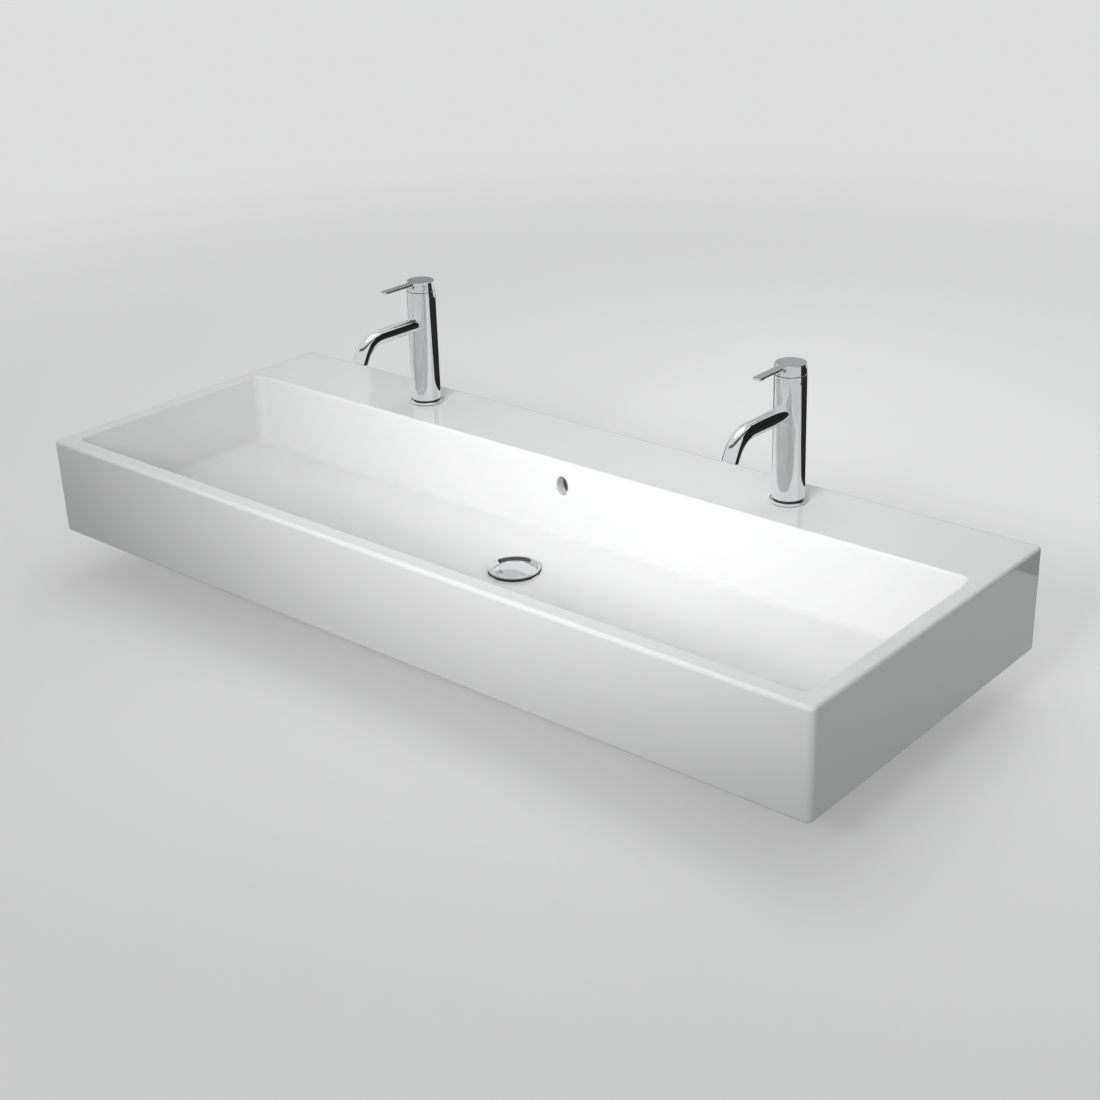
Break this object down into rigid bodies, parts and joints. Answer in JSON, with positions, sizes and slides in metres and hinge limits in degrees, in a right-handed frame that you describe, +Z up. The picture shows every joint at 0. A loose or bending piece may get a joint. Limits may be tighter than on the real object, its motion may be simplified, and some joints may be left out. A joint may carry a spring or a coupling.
{
  "type": "vanity basin with lever mixers",
  "caption": "Wide rectangular ceramic vanity basin with a flat rear tap deck, lever mixers with bent spouts, an overflow hole and a dished push-open waste.",
  "frame": {"origin": "on the wall plane, midway between the two wall bolts", "axes": "+X to the right along the wall, +Y towards the wall, +Z up"},
  "size_m": [1.1998, 0.4699, 0.3699],
  "materials": {
    "glaze": "white glaze, glossy",
    "chrome": "polished chrome plate on brass",
    "brass": "machined",
    "steel": "plain stainless",
    "rubber": "moulded",
    "white_plastic": "moulded",
    "grey_plastic": "moulded",
    "disc_ceramic": "lapped alumina"
  },
  "bodies": {
    "basin_set": {"basin": "glaze", "waste_body": "chrome", "flange_gasket": "rubber", "waste_gasket": "rubber", "slip_washer": "white_plastic", "waste_nut": "brass", "click_cartridge": "white_plastic", "click_spring": "steel", "left_base_gasket": "rubber", "left_base_ring": "chrome", "left_column": "chrome", "left_collar": "chrome", "left_spout": "chrome", "left_aerator_housing": "chrome", "left_aerator_insert": "grey_plastic", "left_cartridge_base": "grey_plastic", "left_cartridge_housing": "white_plastic", "left_fixed_disc": "disc_ceramic", "left_cartridge_nut": "brass", "left_fixing_stud": "steel", "left_clamp_pad": "rubber", "left_clamp_plate": "steel", "left_clamp_nut": "brass", "right_base_gasket": "rubber", "right_base_ring": "chrome", "right_column": "chrome", "right_collar": "chrome", "right_spout": "chrome", "right_aerator_housing": "chrome", "right_aerator_insert": "grey_plastic", "right_cartridge_base": "grey_plastic", "right_cartridge_housing": "white_plastic", "right_fixed_disc": "disc_ceramic", "right_cartridge_nut": "brass", "right_fixing_stud": "steel", "right_clamp_pad": "rubber", "right_clamp_plate": "steel", "right_clamp_nut": "brass"},
    "plug": {"waste_cover": "chrome", "plug_stem": "brass", "plug_seal": "rubber"},
    "left_swivel": {"left_carrier": "white_plastic", "left_pivot_pin": "steel"},
    "left_lever": {"left_handle": "chrome", "left_stem": "brass", "left_set_screw": "steel"},
    "left_disc": {"left_moving_disc": "disc_ceramic"},
    "right_swivel": {"right_carrier": "white_plastic", "right_pivot_pin": "steel"},
    "right_lever": {"right_handle": "chrome", "right_stem": "brass", "right_set_screw": "steel"},
    "right_disc": {"right_moving_disc": "disc_ceramic"}
  },
  "joints": [
    {"name": "plug_rise", "type": "slide", "parent": "basin_set", "child": "plug", "axis": [0, 0, 1], "range_m": [0, 0.008]},
    {"name": "left_turn", "type": "hinge", "parent": "basin_set", "child": "left_swivel", "pos_m": [-0.3, -0.06, 0.217], "axis": [0, 0, 1], "range_deg": [-50, 50]},
    {"name": "left_lift", "type": "hinge", "parent": "left_swivel", "child": "left_lever", "pos_m": [-0.3, -0.06, 0.2284], "axis": [-1, 0, 0], "range_deg": [0, 20]},
    {"name": "left_disc_slide", "type": "slide", "parent": "left_swivel", "child": "left_disc", "axis": [0, -1, 0], "range_m": [0, 0.00738]},
    {"name": "right_turn", "type": "hinge", "parent": "basin_set", "child": "right_swivel", "pos_m": [0.3, -0.06, 0.217], "axis": [0, 0, 1], "range_deg": [-50, 50]},
    {"name": "right_lift", "type": "hinge", "parent": "right_swivel", "child": "right_lever", "pos_m": [0.3, -0.06, 0.2284], "axis": [-1, 0, 0], "range_deg": [0, 20]},
    {"name": "right_disc_slide", "type": "slide", "parent": "right_swivel", "child": "right_disc", "axis": [0, -1, 0], "range_m": [0, 0.00738]}
  ],
  "couplings": [
    {"joint": "left_disc_slide", "follows": "left_lift", "m_per_rad": 0.020856},
    {"joint": "right_disc_slide", "follows": "right_lift", "m_per_rad": 0.020856}
  ]
}
